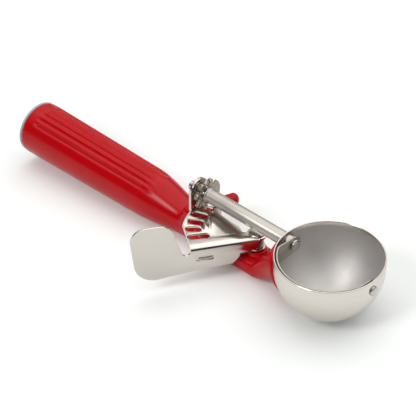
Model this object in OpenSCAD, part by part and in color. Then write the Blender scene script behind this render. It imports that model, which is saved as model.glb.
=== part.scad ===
// Lever ice cream scoop: a squeeze of the thumb lever turns a scraper blade through the bowl.
// Millimetres. The origin is the middle of the end cap's outer face, +X runs along the grip to the
// bowl and +Z is up, towards the bowl's open mouth. The lever stands out to -Y.

/* [Grip] */
// Length of the tapered grip, from the butt to the shoulder
grip_len = 77; // [70:1:100]
// Radius of the grip at its butt
butt_r = 13.85; // [12.5:0.05:15]
// Radius of the grip at its shoulder
shoulder_r = 12.65; // [11.5:0.05:13]
// Rounding of the butt edge
butt_round = 1.2; // [0.6:0.1:2]
// Number of flutes along the top of the grip
flute_count = 7; // [3:2:9]
// Angle from one flute to the next
flute_step = 14.4; // [12:0.2:18]
// Radius of the round flute
flute_r = 1.5; // [1:0.1:1.8]
// Depth of the flutes
flute_depth = 0.65; // [0.3:0.05:0.9]
// Distance from the butt to the first end of the flutes
flute_start = 7; // [5:0.5:12]
// Distance that the flutes run past the shoulder
flute_past = 10; // [0:0.5:10]
// Radius of the hollow core
core_r = 9.5; // [7:0.1:10]
// Length of the hollow core
core_len = 72; // [40:1:80]
// Thickness of the end cap's rim
cap_t = 1.5; // [1:0.1:2.5]
// Length of the end cap's plug inside the core
plug_len = 7; // [4:0.5:12]
// Wall of the end cap's plug
plug_wall = 1.6; // [1:0.1:2.5]

/* [Neck and beam] */
// Length of the neck, from the shoulder to its front
neck_len = 34; // [30:1:40]
// Half width of the neck at its front
neck_w = 8.4; // [7.6:0.1:9.5]
// Height of the neck's front above the grip's axis
neck_top = 6; // [5:0.1:7]
// Depth of the neck's front below the grip's axis
neck_bottom = 9.8; // [9:0.1:10.5]
// Half width of the collar that holds the bracket's foot
collar_w = 7.2; // [6.8:0.1:8]
// Height of the collar above the grip's axis
collar_top = 10.3; // [9:0.1:11]
// Half width of the beam under the mechanism
beam_w = 8.7; // [7.5:0.1:9]
// Height of the beam's low top, where the lever swings over it
beam_top = -0.7; // [-1.5:0.1:0]
// Height of the beam's top round the lever's boss
seat_top = 2.7; // [1.5:0.1:3.2]
// Depth of the beam's underside below the grip's axis
beam_bottom = 7.5; // [6.5:0.1:8]
// Radius of the boss that carries the lever
boss_r = 5; // [4.6:0.1:6]
// Reach of the finger stop, from the middle plane to its tip
stop_reach = 24; // [20:0.5:28]
// Half width of the finger stop
stop_w = 3.7; // [3.5:0.1:5]
// Half thickness of the finger stop
stop_t = 3.1; // [2.5:0.1:4]
// Radius of the saddle's round outline
saddle_r = 17; // [15.5:0.1:17.2]
// Distance of the saddle's middle below the shaft
saddle_drop = 8; // [7.5:0.1:8.8]
// Height of the saddle's horns above the shaft
saddle_rise = 2.6; // [1:0.1:4]
// Thickness of the saddle behind the bowl
saddle_t = 2; // [1.6:0.1:3]

/* [Shaft] */
// Height of the shaft above the grip's axis
shaft_rise = 20.05; // [19:0.05:21]
// Outer radius of the tube
tube_r = 3.5; // [3.3:0.05:3.8]
// Radius of the solid rod
rod_r = 2.25; // [2:0.05:2.5]
// Radius of the tube's flared rear end
flare_r = 4.1; // [3.9:0.1:4.6]
// Length of the rod's stub behind the bracket
stub_len = 3.9; // [3:0.1:6]
// Thickness of the bracket
bracket_t = 1.5; // [1.2:0.1:2]
// Half width of the bracket
bracket_w = 6; // [5.6:0.05:6.4]
// Depth of the bracket's foot inside the neck
bracket_foot = 12; // [8:0.5:13]
// Distance from the neck's front to the bracket
bracket_ahead = 2.5; // [2:0.1:4]
// Length of the spacer between bracket and pinion
spacer_len = 3.9; // [3:0.1:4.5]
// Radius of the spacer
spacer_r = 3.6; // [3.3:0.1:4.2]
// Outer radius of the retaining ring
clip_r = 4.3; // [3.8:0.1:4.8]
// Thickness of the retaining ring
clip_t = 0.8; // [0.6:0.05:1]

/* [Pinion] */
// Number of teeth that would go round a full wheel
teeth = 8; // [8:1:8]
// Radius over the tips of the teeth
pinion_r = 8.3; // [8.1:0.05:8.5]
// Radius of the root between the teeth
root_r = 4.4; // [4:0.1:5]
// Pitch radius, where the pinion rolls with the sector
pitch_r = 7.5; // [7.3:0.05:7.6]
// Width of a tooth
tooth_w = 2.3; // [2:0.05:2.4]
// Thickness of the pinion
pinion_t = 2; // [1.8:0.1:2.4]
// Angle of the lowest tooth from straight down, at rest
tooth_phase = -17; // [-19:0.5:-15]
// Radius of the plain lobe that takes the place of the unused teeth
lobe_r = 8.1; // [7.6:0.1:8.2]
// Angle from straight down at which the lobe begins
lobe_from = 62; // [60:1:70]
// Angle from straight down at which the lobe ends
lobe_to = 126; // [120:1:130]

/* [Lever] */
// Distance from the lever's pin to the pinion
mesh_r = 31.5; // [30:0.1:33]
// Side offset of the lever's pin from the shaft
pin_y = 1; // [0.5:0.1:1.5]
// Angle of the lever's flange from the grip, at rest
flange_angle = 57; // [54:0.5:60]
// Thickness of the lever's sheet
sheet_t = 1; // [0.9:0.05:1.2]
// Outer radius of the bends
bend_r = 2.2; // [1.8:0.1:2.6]
// Height of the sector's middle below the shaft
sector_drop = 7.5; // [7.3:0.05:7.7]
// Outer radius of the sector
sector_r = 35.8; // [35:0.1:35.9]
// Distance of the flange's outer face from the pin
flange_off = 4.87; // [4.7:0.01:5.2]
// Width of the slots that mesh with the teeth
slot_w = 4.2; // [4:0.05:4.4]
// Inner end of the slots, from the pin
slot_in = 26.2; // [25.8:0.1:27.5]
// Outer end of the slots, from the pin
slot_out = 34.2; // [33.8:0.1:34.4]
// Angle of the slots from the line to the pin
slot_tilt = 5; // [0:0.5:6]
// Inner end of the last, longer slot
last_slot_in = 22.2; // [21:0.1:24]
// Outer end of the last, longer slot
last_slot_out = 33.3; // [33:0.1:33.4]
// Radius of the ear round the pin
ear_r = 4.9; // [4.7:0.1:5.3]
// Clear height between the sector and the lower ear
ear_gap = 6.5; // [6.3:0.1:7]
// Height of the thumb pad's top above the sector
pad_rise = 16.7; // [13:0.1:18]
// Depth of the thumb pad's lowest point below the sector
pad_drop = 14.7; // [14:0.1:16]
// Reach of the thumb pad, from the pin
pad_reach = 62.1; // [58:0.1:66]
// Width of the thumb pad
pad_w = 20.9; // [19:0.1:22]
// Radius of the lever pin
pin_r = 2; // [1.8:0.05:2.1]
// Radius of the lever pin's head
pin_head_r = 4; // [3.2:0.1:4.3]
// Thickness of the washers on the lever pin
washer_t = 0.45; // [0.3:0.05:0.6]

/* [Spring] */
// Diameter of the spring's wire
wire_d = 1; // [0.8:0.05:1.05]
// Mean radius of the spring's coil
coil_r = 2.95; // [2.9:0.01:3]
// Rise of the coil in one turn
coil_pitch = 1.45; // [1.42:0.01:1.48]
// Whole turns of the coil
coil_turns = 3; // [2:1:3]
// Number of flat sides of the wire
wire_sides = 6; // [6:1:6]

/* [Bowl] */
// Outer radius of the bowl
bowl_r = 26; // [24:0.5:30]
// Wall of the bowl
bowl_wall = 0.8; // [0.6:0.05:1]
// Height of the rim above the shaft
rim_rise = 5.5; // [5:0.1:7]
// Gap between the lever's pin and the bowl's wall
pin_to_bowl = 19.5; // [18.5:0.1:22]
// Thickness of the scraper blade
blade_t = 0.7; // [0.5:0.05:0.9]
// Width of the scraper blade
blade_w = 10; // [8:0.1:10.4]
// Gap between the blade's edges and the bowl's inside
blade_gap = 0.2; // [0.15:0.05:0.4]
// Distance from the bowl's rear wall to the blade's rear ear
ear_inset = 3.2; // [3:0.1:4.2]
// Radius of the blade's round ears
blade_ear_r = 4.3; // [4:0.1:5]
// Radius of the front rivet's shank
rivet_r = 1.5; // [1.3:0.05:1.8]
// Radius of the front rivet's head
rivet_head_r = 2.4; // [2.2:0.1:2.8]
// Radius of the studs that hold the bowl in the moulding
stud_r = 1.4; // [1.1:0.05:1.6]
// Length of the studs, from the bowl's outside
stud_len = 4.5; // [4:0.1:5]

/* [Fits] */
// Radial gap of pins and shafts that turn
running_gap = 0.05; // [0.03:0.01:0.08]
// Gap between pieces that are fixed to each other
seat_gap = 0.03; // [0.02:0.01:0.05]

/* [Hidden] */

red = [0.7, 0.02, 0.06];
steel = [0.78, 0.77, 0.75];
dark_steel = [0.62, 0.61, 0.6];
grey = [0.45, 0.46, 0.48];
$fn = 96;

// stations along X
neck_x = grip_len + neck_len;
bracket_x = neck_x + bracket_ahead;
bracket_front = bracket_x + bracket_t;
spacer_x = bracket_front + running_gap;
pinion_x = spacer_x + spacer_len + seat_gap + pinion_t / 2;
pin_x = pinion_x + mesh_r;
bowl_rear_x = pin_x + pin_to_bowl;
bowl_x = bowl_rear_x + bowl_r;
blade_ear_x = bowl_rear_x + bowl_wall + ear_inset;
tube_x = pinion_x + pinion_t / 2 + seat_gap;
tube_end_x = blade_ear_x - seat_gap;
nut_x = blade_ear_x + blade_t + seat_gap;
nut_t = 1.1;
rod_end_x = nut_x + nut_t + 0.2;

// heights
sector_z = shaft_rise - sector_drop;
sector_top = sector_z + sheet_t / 2;
sector_under = sector_z - sheet_t / 2;
ear_top = sector_under - ear_gap;
ear_under = ear_top - sheet_t;
boss_top = ear_under - running_gap - washer_t - seat_gap;
foot_z = neck_top - bracket_foot;
spot_z = 0.6 - beam_bottom;
washer_r = 3.7;

// the sector's slots: the lever turns by one slot while the pinion turns by one tooth
tooth_step = 360 / teeth;
lever_ratio = mesh_r / pitch_r;
slot_step = tooth_step / lever_ratio;
first_slot = asin((pin_y - pitch_r * sin(tooth_phase)) / mesh_r);
slot_count = ceil(180 / tooth_step) + 1;

// the spring runs from the bracket's hole, round the pin, to the flange's slot
leg_z = sector_under - 0.3 - wire_d / 2;
coil_sweep = 360 * coil_turns + 180 - flange_angle;
coil_low_z = leg_z - coil_pitch * coil_sweep / 360;
leg_y = pin_y + coil_r;
leg_hole_r = wire_d / 2 + 0.3;

// ---- shared shapes ----

// points of an arc in the plane, from angle a to angle b
function arc(cx, cy, r, a, b, n = 12) =
    [for (i = [0:n]) let (t = a + (b - a) * i / n) [cx + r * cos(t), cy + r * sin(t)]];

// eases from 0 to 1 with level ends
function ease(t) = let (u = min(max(t, 0), 1)) u * u * (3 - 2 * u);
function mix(a, b, t) = a + (b - a) * t;
function unit(v) = v / norm(v);

// faces of a tube of rings that all have the same number of points, with closed ends
function ring_faces(rings, sides) = concat(
    [[for (k = [0:sides - 1]) k]],
    [for (i = [0:rings - 2], k = [0:sides - 1]) let (m = (k + 1) % sides)
        [i * sides + k, (i + 1) * sides + k, (i + 1) * sides + m]],
    [for (i = [0:rings - 2], k = [0:sides - 1]) let (m = (k + 1) % sides)
        [i * sides + k, (i + 1) * sides + m, i * sides + m]],
    [[for (k = [0:sides - 1]) rings * sides - 1 - k]]);

// a solid skinned over rings of points
module skin(rings) {
    polyhedron(
        points = [for (r = rings, p = r) p],
        faces = ring_faces(len(rings), len(rings[0])));
}

// a cylinder that lies along X, on the shaft's axis unless told otherwise
module x_rod(x0, x1, r, y = 0, z = shaft_rise) {
    translate([x0, y, z]) rotate([0, 90, 0]) cylinder(h = x1 - x0, r = r);
}

// a flat ring that lies along X on the shaft's axis
module x_ring(x0, t, r_out, r_in) {
    difference() {
        x_rod(x0, x0 + t, r_out);
        x_rod(x0 - 1, x0 + t + 1, r_in);
    }
}

// a plate that stands across X, drawn in Y and Z
module x_plate(x0, t) {
    translate([x0, 0, 0]) rotate([90, 0, 90]) linear_extrude(t) children();
}

// a washer on the lever's pin
module pin_washer(z0, t) {
    translate([pin_x, pin_y, z0]) difference() {
        cylinder(h = t, r = washer_r);
        translate([0, 0, -1]) cylinder(h = t + 2, r = pin_r + running_gap);
    }
}

// a straight slot with round ends along X
module obround(x0, x1, w) {
    translate([x0 + w / 2, -w / 2]) square([x1 - x0 - w, w]);
    translate([x0 + w / 2, 0]) circle(r = w / 2);
    translate([x1 - w / 2, 0]) circle(r = w / 2);
}

// places children in the lever's frame: the pin is the origin, X runs out along the flange
// and Y points away from the grip
module lever_frame() {
    translate([pin_x, pin_y, 0]) rotate([0, 0, 180 + flange_angle]) children();
}

// ---- handle ----

function grip_line(x) = mix(butt_r, shoulder_r, x / grip_len);

// tapered grip with a rounded butt edge
module grip() {
    butt_edge = grip_line(cap_t) - butt_round;
    rotate([0, 90, 0]) rotate_extrude()
        polygon(concat(
            [[0, cap_t]],
            arc(butt_edge, cap_t + butt_round, butt_round, -90, 0, 6),
            [[shoulder_r, grip_len], [0, grip_len]]));
}

// one flute: a long capsule laid along the tapered surface
module flute() {
    near = flute_start + flute_r;
    far = grip_len + flute_past - flute_r;
    taper = atan((butt_r - shoulder_r) / grip_len);
    translate([near, 0, grip_line(near) + flute_r - flute_depth]) rotate([0, 90 + taper, 0])
        rotate_extrude($fn = 32)
            polygon(concat(
                arc(0, 0, flute_r, -90, 0, 5),
                arc(0, far - near, flute_r, 0, 90, 5)));
}

// the moulding ahead of the shoulder: how far along the neck, the beam and the flare x lies
beam_in = 16;
seat_in = 6;
seat_x = pin_x - boss_r - seat_in;
flare_len = 16;
flare_x = bowl_rear_x - flare_len + 2;
flare_end_x = flare_x + 1.15 * flare_len;
flare_w = 4.5;
flare_lift = 11;
function along_neck(x) = ease((x - grip_len) / neck_len);
function along_beam(x) = ease((x - neck_x) / beam_in);
function along_flare(x) = max(x - flare_x, 0) / flare_len;

// half width, top, underside and squareness of the moulding at x
function body_w(x) = x < neck_x ? mix(grip_line(x), neck_w, pow(along_neck(x), 1.35))
    : mix(neck_w, beam_w, along_beam(x)) + flare_w * pow(along_flare(x), 2);
function body_top(x) = x < neck_x ? mix(grip_line(x), neck_top, pow(along_neck(x), 1.5))
    : mix(mix(neck_top, beam_top, along_beam(x)), seat_top, ease((x - seat_x) / seat_in))
        + (saddle_top - seat_top) * pow(along_flare(x), 0.9);
function body_under(x) = x < neck_x ? -mix(grip_line(x), neck_bottom, pow(along_neck(x), 1.7))
    : -mix(neck_bottom, beam_bottom, along_beam(x)) + flare_lift * pow(along_flare(x), 2.2);
function body_square(x) = x < neck_x ? mix(2, 2.3, along_neck(x))
    : mix(2.3, 3, along_beam(x)) - 0.7 * min(along_flare(x), 1);

// one cross-section of the moulding, a superellipse with its own top and underside
function body_ring(x, inset = 0, sides = 64) =
    let (w = body_w(x) - inset, mid = (body_top(x) + body_under(x)) / 2,
        h = (body_top(x) - body_under(x)) / 2 - inset, q = 2 / body_square(x))
    [for (k = [0:sides - 1]) let (a = 360 * k / sides, c = cos(a), s = sin(a))
        [x, w * sign(c) * pow(abs(c), q), mid + h * sign(s) * pow(abs(s), q)]];

// neck, beam and the flare behind the bowl, in one skin that starts inside the grip
module body_skin() {
    inset = 0.05;
    skin(concat(
        [body_ring(grip_len - 5, inset), body_ring(grip_len - 1, inset)],
        [for (i = [1:16]) body_ring(mix(grip_len, neck_x, i / 16), inset * (1 - i / 16))],
        [for (i = [1:6]) body_ring(neck_x + beam_in * i / 6)],
        [for (x = [seat_x, seat_x + seat_in / 2, seat_x + seat_in, flare_x]) body_ring(x)],
        [for (i = [1:10]) body_ring(mix(flare_x, flare_end_x, i / 10))]));
}

// collar that rises out of the neck round the bracket's foot, in a skin of squarish rings
collar_back = 5;
collar_front = 1.8;
collar_steps = 5;
function collar_ring(x, w, top) = let (under = -beam_bottom / 2, mid = (top + under) / 2)
    [for (k = [0:31]) let (c = cos(11.25 * k), s = sin(11.25 * k))
        [x, w * sign(c) * sqrt(sqrt(abs(c))), mid + (top - mid) * sign(s) * sqrt(sqrt(abs(s)))]];
module collar() {
    back_x = neck_x - collar_back;
    front_x = bracket_front + collar_front;
    skin(concat(
        [for (i = [0:collar_steps]) let (t = i / collar_steps)
            collar_ring(mix(back_x, neck_x, t), mix(neck_w - 4, collar_w, ease(t)),
                mix(neck_top - 3, collar_top, ease(t)))],
        [collar_ring(front_x, collar_w, collar_top),
         collar_ring(front_x + 0.8, collar_w - 0.5, collar_top - 0.6)]));
}

// the dished lip that hugs the bowl's rear, with a horn on each side of the tube
saddle_top = shaft_rise + saddle_rise;
saddle_notch_r = tube_r + 0.7;
module saddle() {
    intersection() {
        bowl_space(saddle_t);
        x_plate(bowl_rear_x - saddle_t - 1, bowl_r)
            translate([0, shaft_rise - saddle_drop]) circle(r = saddle_r);
    }
}

// the space that the bowl takes up, grown by a margin
module bowl_space(margin) {
    translate([bowl_x, 0, shaft_rise]) sphere(r = bowl_r + margin);
    translate([bowl_x, 0, shaft_rise]) cylinder(h = 2 * rim_rise, r = bowl_r + margin);
}

// finger stop on the far side: an oval horn that sweeps forward and turns up at its round tip
module finger_stop() {
    root = [neck_x - 8, 4, 1];
    tip = [neck_x + 6.6, stop_reach - stop_t, 3.4];
    steps = 8;
    path = [for (i = [0:steps]) let (t = i / steps)
        [mix(root[0], tip[0], t), mix(root[1], tip[1], t), mix(root[2], tip[2], pow(t, 2.2))]];
    out = unit(path[steps] - path[steps - 1]);
    cap = [0.38, 0.68, 0.88, 0.97];
    spine = concat(path, [for (c = cap) path[steps] + c * stop_t * out]);
    size = concat([for (p = path) 1], [for (c = cap) sqrt(1 - c * c)]);
    skin([for (i = [0:len(spine) - 1])
        let (t = i < steps ? unit(spine[i + 1] - spine[max(i - 1, 0)]) : out,
            up = unit(cross([1, 0, 0], t)), side = cross(t, up))
        [for (k = [0:19]) let (a = -18 * k)
            spine[i] + size[i] * (stop_w * cos(a) * side + stop_t * sin(a) * up)]]);
}

module handle() {
    color(red) difference() {
        union() {
            grip();
            body_skin();
            collar();
            saddle();
            finger_stop();
            translate([pin_x, pin_y, beam_top - 1])
                cylinder(h = boss_top - beam_top + 1, r = boss_r);
        }
        for (i = [0:flute_count - 1])
            rotate([(i - (flute_count - 1) / 2) * flute_step, 0, 0]) flute();
        // hollow core
        x_rod(0, cap_t + core_len, core_r, z = 0);
        // the bowl and the tube's way over the saddle
        bowl_space(seat_gap);
        x_rod(flare_x, bowl_x, saddle_notch_r);
        translate([flare_x, -saddle_notch_r, shaft_rise]) cube([bowl_r, 2 * saddle_notch_r, bowl_r]);
        translate([flare_x, -bowl_r, saddle_top]) cube([bowl_r, 2 * bowl_r, bowl_r]);
        bracket_pocket();
        x_rod(neck_x - 1, bracket_front + 4, leg_hole_r, leg_y, leg_z);
        // the lever's pin and the washer that it is peened over
        translate([pin_x, pin_y, spot_z - 1]) cylinder(h = boss_top + 10, r = pin_r + seat_gap);
        translate([pin_x, pin_y, spot_z - 4]) cylinder(h = 4, r = washer_r + 0.3);
        stud_places() {
            translate([0, 0, bowl_r - 1]) cylinder(h = stud_len + 1, r = stud_r + seat_gap);
            translate([0, 0, stud_head_at - seat_gap])
                cylinder(h = stud_head_t + 2 * seat_gap, r = stud_head_r + seat_gap);
        }
    }
}

// grey plug with a round edge, as wide as the grip's butt
module end_cap() {
    edge = 1;
    color(grey) rotate([0, 90, 0]) rotate_extrude()
        polygon(concat(
            [[0, 0]],
            arc(butt_r - 0.4 - edge, edge, edge, -90, 0, 6),
            [[butt_r - 0.4, cap_t - seat_gap], [core_r - seat_gap, cap_t - seat_gap],
             [core_r - seat_gap, cap_t + plug_len], [core_r - plug_wall, cap_t + plug_len],
             [core_r - plug_wall, cap_t + 0.6], [0, cap_t + 0.6]]));
}

// ---- bracket ----

// hole in the bracket's foot that the moulding fills, so that the foot stays put
lock_r = 2.4;
lock_z = foot_z + 4.6;

module bracket_outline(grow = 0) {
    translate([0, shaft_rise]) circle(r = bracket_w + grow);
    translate([-bracket_w - grow, foot_z - grow])
        square([2 * (bracket_w + grow), shaft_rise - foot_z + grow]);
}

module shaft_bracket() {
    color(steel) difference() {
        x_plate(bracket_x, bracket_t) bracket_outline();
        x_rod(bracket_x - 1, bracket_front + 1, rod_r + running_gap);
        x_rod(bracket_x - 1, bracket_front + 1, leg_hole_r, leg_y, leg_z);
        x_rod(bracket_x - 1, bracket_front + 1, lock_r, 0, lock_z);
    }
}

module bracket_pocket() {
    difference() {
        x_plate(bracket_x - seat_gap, bracket_t + 2 * seat_gap) bracket_outline(seat_gap);
        x_rod(bracket_x - 1, bracket_front + 1, lock_r - seat_gap, 0, lock_z);
    }
}

// ---- lever ----

bend_y = flange_off - bend_r;
sector_end = 33.2;
notch_r = 2.2;
pad_out_r = 10.7;
pad_top_r = 7.4;
window_in = 21.9;
window_out = 30.9;
window_h = wire_d + 1.5;

// a point of the lever's frame, at a distance from the pin and an angle from the grip's side
function fan(r, angle) = let (a = angle - flange_angle) [r * cos(a), r * sin(a)];

// a slot turned a little about its middle
module tilted_slot(x0, x1) {
    middle = (x0 + x1) / 2;
    translate([middle, 0]) rotate(slot_tilt) obround(x0 - middle, x1 - middle, slot_w);
}

module sector_outline() {
    flat_at = flange_angle - acos(sector_end / sector_r);
    far_at = -3.7;
    difference() {
        union() {
            polygon(concat(
                [[0, bend_y], [sector_end, bend_y]],
                [for (i = [0:24]) fan(sector_r, mix(flat_at, far_at, i / 24))],
                [fan(slot_in - 1.4, -4.6), fan(21.6, 4.5), fan(13, 11.2), fan(10, 14.5),
                 fan(8.2, 23), fan(7, 39), [0, 0]]));
            difference() {
                circle(r = ear_r);
                translate([0, bend_y]) square(ear_r);
            }
        }
        for (i = [0:slot_count - 1])
            rotate([0, 0, first_slot + i * slot_step - flange_angle])
                if (i < slot_count - 1) tilted_slot(slot_in, slot_out);
                else tilted_slot(last_slot_in, last_slot_out);
        circle(r = pin_r + running_gap);
    }
}

// the bent-down flange with its thumb pad: X runs along it and Y is height
module flange_outline() {
    z0 = sector_z;
    root_x = 9.6;
    pad_z = z0 + pad_rise - pad_top_r;
    difference() {
        polygon(concat(
            [[0, sector_top - bend_r], [0.8, z0 - 4.7], [3.8, ear_under + bend_r],
             [root_x, ear_under + bend_r], [root_x, z0 - 8.2], [13, z0 - 11.7], [31, z0 - 12.7]],
            arc(pad_reach - pad_out_r - 1.5, z0 - pad_drop + pad_out_r, pad_out_r, -105, -10, 10),
            arc(pad_reach - pad_top_r, pad_z, pad_top_r, 0, 88, 8),
            arc(pad_reach - pad_w + pad_top_r, pad_z, pad_top_r, 92, 178, 8),
            arc(sector_end + notch_r, z0 - 0.8, notch_r, 0, -180, 12),
            [[sector_end, sector_top - bend_r]]));
        translate([0, coil_low_z]) obround(window_in, window_out, window_h);
    }
}

// a quarter-round bend along the flange, which turns down to it or up from it
module bend(x0, x1, z, turn) {
    translate([x0, bend_y, z]) rotate([turn, 0, 0]) rotate([90, 0, 90]) intersection() {
        difference() {
            cylinder(h = x1 - x0, r = bend_r);
            translate([0, 0, -1]) cylinder(h = x1 - x0 + 2, r = bend_r - sheet_t);
        }
        cube([bend_r, bend_r, x1 - x0]);
    }
}

module thumb_lever() {
    color(steel) lever_frame() {
        translate([0, 0, sector_under]) linear_extrude(sheet_t) sector_outline();
        bend(0, sector_end, sector_top - bend_r, 0);
        translate([0, flange_off, 0]) rotate([90, 0, 0]) linear_extrude(sheet_t) flange_outline();
        bend(3.8, 9.6, ear_under + bend_r, -90);
        translate([0, 0, ear_under]) linear_extrude(sheet_t) difference() {
            union() {
                circle(r = washer_r + 0.4);
                polygon([[3.8, bend_y], [9.6, bend_y], [2.6, -3.2], [-1.5, 3.6], [0, 3.9]]);
            }
            translate([3.8, bend_y]) square(9);
            circle(r = pin_r + running_gap);
        }
    }
}

// pin from below the beam to its domed head above the sector
module lever_pin() {
    head_z = sector_top + running_gap;
    low_z = spot_z - washer_t;
    edge = 0.35;
    color(dark_steel) translate([pin_x, pin_y, 0]) rotate_extrude()
        polygon(concat(
            [[0, low_z - 0.9], [1.6, low_z - 0.9], [2.8, low_z - 0.5], [2.9, low_z - seat_gap],
             [pin_r, low_z - seat_gap], [pin_r, head_z], [pin_head_r, head_z]],
            [for (i = [0:5]) [pin_head_r * cos(18 * i), head_z + edge + 0.75 * sin(18 * i)]]));
}

module ear_washer() {
    color(steel) pin_washer(boss_top + seat_gap, washer_t);
}

module peen_washer() {
    color(steel) pin_washer(spot_z - washer_t, washer_t - seat_gap);
}

// ---- spring ----

// centre line of the wire: bracket, coil, flange's slot
coil_rings = 8;
coil_steps = round(coil_sweep / (360 / coil_rings));
out_dir = [-cos(flange_angle), -sin(flange_angle), 0];
off_dir = [sin(flange_angle), -cos(flange_angle), 0];
window_jog = 1.3;
function coil_point(i) = let (t = i / coil_steps, a = 90 - coil_sweep * t)
    [pin_x + coil_r * cos(a), pin_y + coil_r * sin(a), mix(leg_z, coil_low_z, t)];
function flange_point(x, y) =
    [pin_x, pin_y, coil_low_z] + x * out_dir + (coil_r + y) * off_dir;
spring_path = concat(
    [for (x = [bracket_x - 1.6, bracket_front + 4, mix(bracket_front, pin_x, 0.6), pin_x - 3])
        [x, leg_y, leg_z]],
    [for (i = [0:coil_steps]) coil_point(i)],
    [flange_point(4, 0), flange_point(13, 0), flange_point(window_in, 0),
     flange_point(window_in + 1.3, window_jog / 2), flange_point(window_in + 2.6, window_jog),
     flange_point(window_out - 1, window_jog)]);

function wire_ring(i) =
    let (n = len(spring_path), p = spring_path[i],
        t = unit(spring_path[min(i + 1, n - 1)] - spring_path[max(i - 1, 0)]),
        side = unit(cross([0, 0, 1], t)), up = cross(t, side))
    [for (k = [0:wire_sides - 1]) let (a = -360 * k / wire_sides)
        p + wire_d / 2 * (cos(a) * side + sin(a) * up)];

// least gap between rings of the wire that are more than half a turn apart along it
spring_rings = [for (i = [0:len(spring_path) - 1]) wire_ring(i)];
function ring_gap(a, b) = min([for (p = a, q = b) norm(p - q)]);
apart = coil_rings / 2 + 1;
spring_gap = min([for (i = [0:len(spring_path) - 1 - apart], j = [i + apart:len(spring_path) - 1])
    ring_gap(spring_rings[i], spring_rings[j])]);
echo(least_gap_of_the_spring_to_itself = spring_gap);

module return_spring() {
    color(dark_steel) skin(spring_rings);
}

// ---- bowl ----

// half of the bowl's section out to a radius: a quarter disc below the shaft, a skirt above it
module bowl_section(r, top) {
    intersection() {
        circle(r = r);
        translate([0, -r]) square(r);
    }
    square([r, top]);
}

module bowl() {
    color(steel) difference() {
        translate([bowl_x, 0, shaft_rise]) rotate_extrude() difference() {
            bowl_section(bowl_r, rim_rise);
            bowl_section(bowl_r - bowl_wall, rim_rise + 1);
        }
        x_rod(bowl_rear_x - 2, bowl_rear_x + bowl_wall + 2, tube_r + 0.1);
        x_rod(bowl_x + bowl_r - bowl_wall - 2, bowl_x + bowl_r + 2, rivet_r + seat_gap);
    }
}

// two headed studs on the bowl's outside, sunk in the moulding below the tube
stud_head_r = 2.2;
stud_head_t = 1;
stud_head_at = bowl_r + stud_len - stud_head_t;
module stud_places() {
    for (side = [-1, 1])
        translate([bowl_x, 0, shaft_rise]) rotate([side * 35, 0, 0]) rotate([0, -112, 0])
            children();
}

module bowl_studs() {
    color(steel) stud_places() {
        translate([0, 0, bowl_r + seat_gap]) cylinder(h = stud_len - seat_gap, r = stud_r);
        translate([0, 0, stud_head_at]) cylinder(h = stud_head_t, r = stud_head_r);
    }
}

// front of the bowl, from inside: ring, blade's ear, washer, wall, rivet's head
front_ring_r = 2.6;
front_washer_t = 1.3;
front_wall_x = bowl_x + sqrt(pow(bowl_r - bowl_wall, 2) - pow(front_ring_r, 2));
front_washer_x = front_wall_x - seat_gap - front_washer_t;
front_ear_x = front_washer_x - running_gap - blade_t;
front_ring_t = 0.7;
front_ring_x = front_ear_x - running_gap - front_ring_t;

module front_rivet() {
    tip_x = front_ring_x - 0.5;
    h = bowl_x + bowl_r + seat_gap - tip_x;
    edge = 0.4;
    color(steel) translate([tip_x, 0, shaft_rise]) rotate([0, 90, 0]) rotate_extrude($fn = 48)
        polygon(concat(
            [[0, 0], [rivet_r - 0.2, 0], [rivet_r, 0.2], [rivet_r, h], [rivet_head_r, h]],
            [for (i = [0:5]) [rivet_head_r * cos(18 * i), h + edge + 0.9 * sin(18 * i)]]));
}

module front_washer() {
    color(steel) x_ring(front_washer_x, front_washer_t, front_ring_r, rivet_r + running_gap);
}

module front_ring() {
    color(dark_steel) x_ring(front_ring_x, front_ring_t, front_ring_r, rivet_r + seat_gap);
}

// ---- shaft ----

module shaft_tube() {
    bore = rod_r + running_gap;
    tube_len = tube_end_x - tube_x;
    color(steel) translate([tube_x, 0, shaft_rise]) rotate([0, 90, 0]) rotate_extrude()
        polygon(concat(
            [[bore, 0], [flare_r - 0.2, 0], [flare_r, 0.25], [flare_r, 0.5]],
            arc(flare_r, 1.1 + 0.6, flare_r - tube_r, -115, -180, 5),
            [[tube_r, tube_len], [bore, tube_len]]));
}

// the space over the flat that keys the pinion and the blade to the rod
flat_depth = 0.5;
module over_flat(r, x0, x1) {
    translate([x0, -r - 1, shaft_rise + r - flat_depth]) cube([x1 - x0, 2 * r + 2, r]);
}

// bore with the rod's flat
module keyed_bore(x0, x1) {
    difference() {
        x_rod(x0, x1, rod_r + running_gap);
        over_flat(rod_r + running_gap, x0 - 1, x1 + 1);
    }
}

clip_x = bracket_x - running_gap - clip_t;
groove_depth = 0.4;

module drive_rod() {
    color(dark_steel) difference() {
        x_rod(bracket_x - stub_len, rod_end_x, rod_r);
        over_flat(rod_r, pinion_x - pinion_t / 2 - 0.3, rod_end_x + 1);
        x_ring(clip_x - 0.05, clip_t + 0.1, rod_r + 1, rod_r - groove_depth);
    }
}

// C-shaped ring in the rod's groove, behind the bracket
module rear_clip() {
    slot = 2 * (rod_r - groove_depth) - 0.4;
    color(dark_steel) difference() {
        x_ring(clip_x, clip_t, clip_r, rod_r - groove_depth + seat_gap);
        translate([clip_x - 1, -slot / 2, shaft_rise - clip_r - 1])
            cube([clip_t + 2, slot, clip_r + 1]);
    }
}

module pinion_spacer() {
    color(dark_steel) x_ring(spacer_x, spacer_len, spacer_r, rod_r + running_gap);
}

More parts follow.
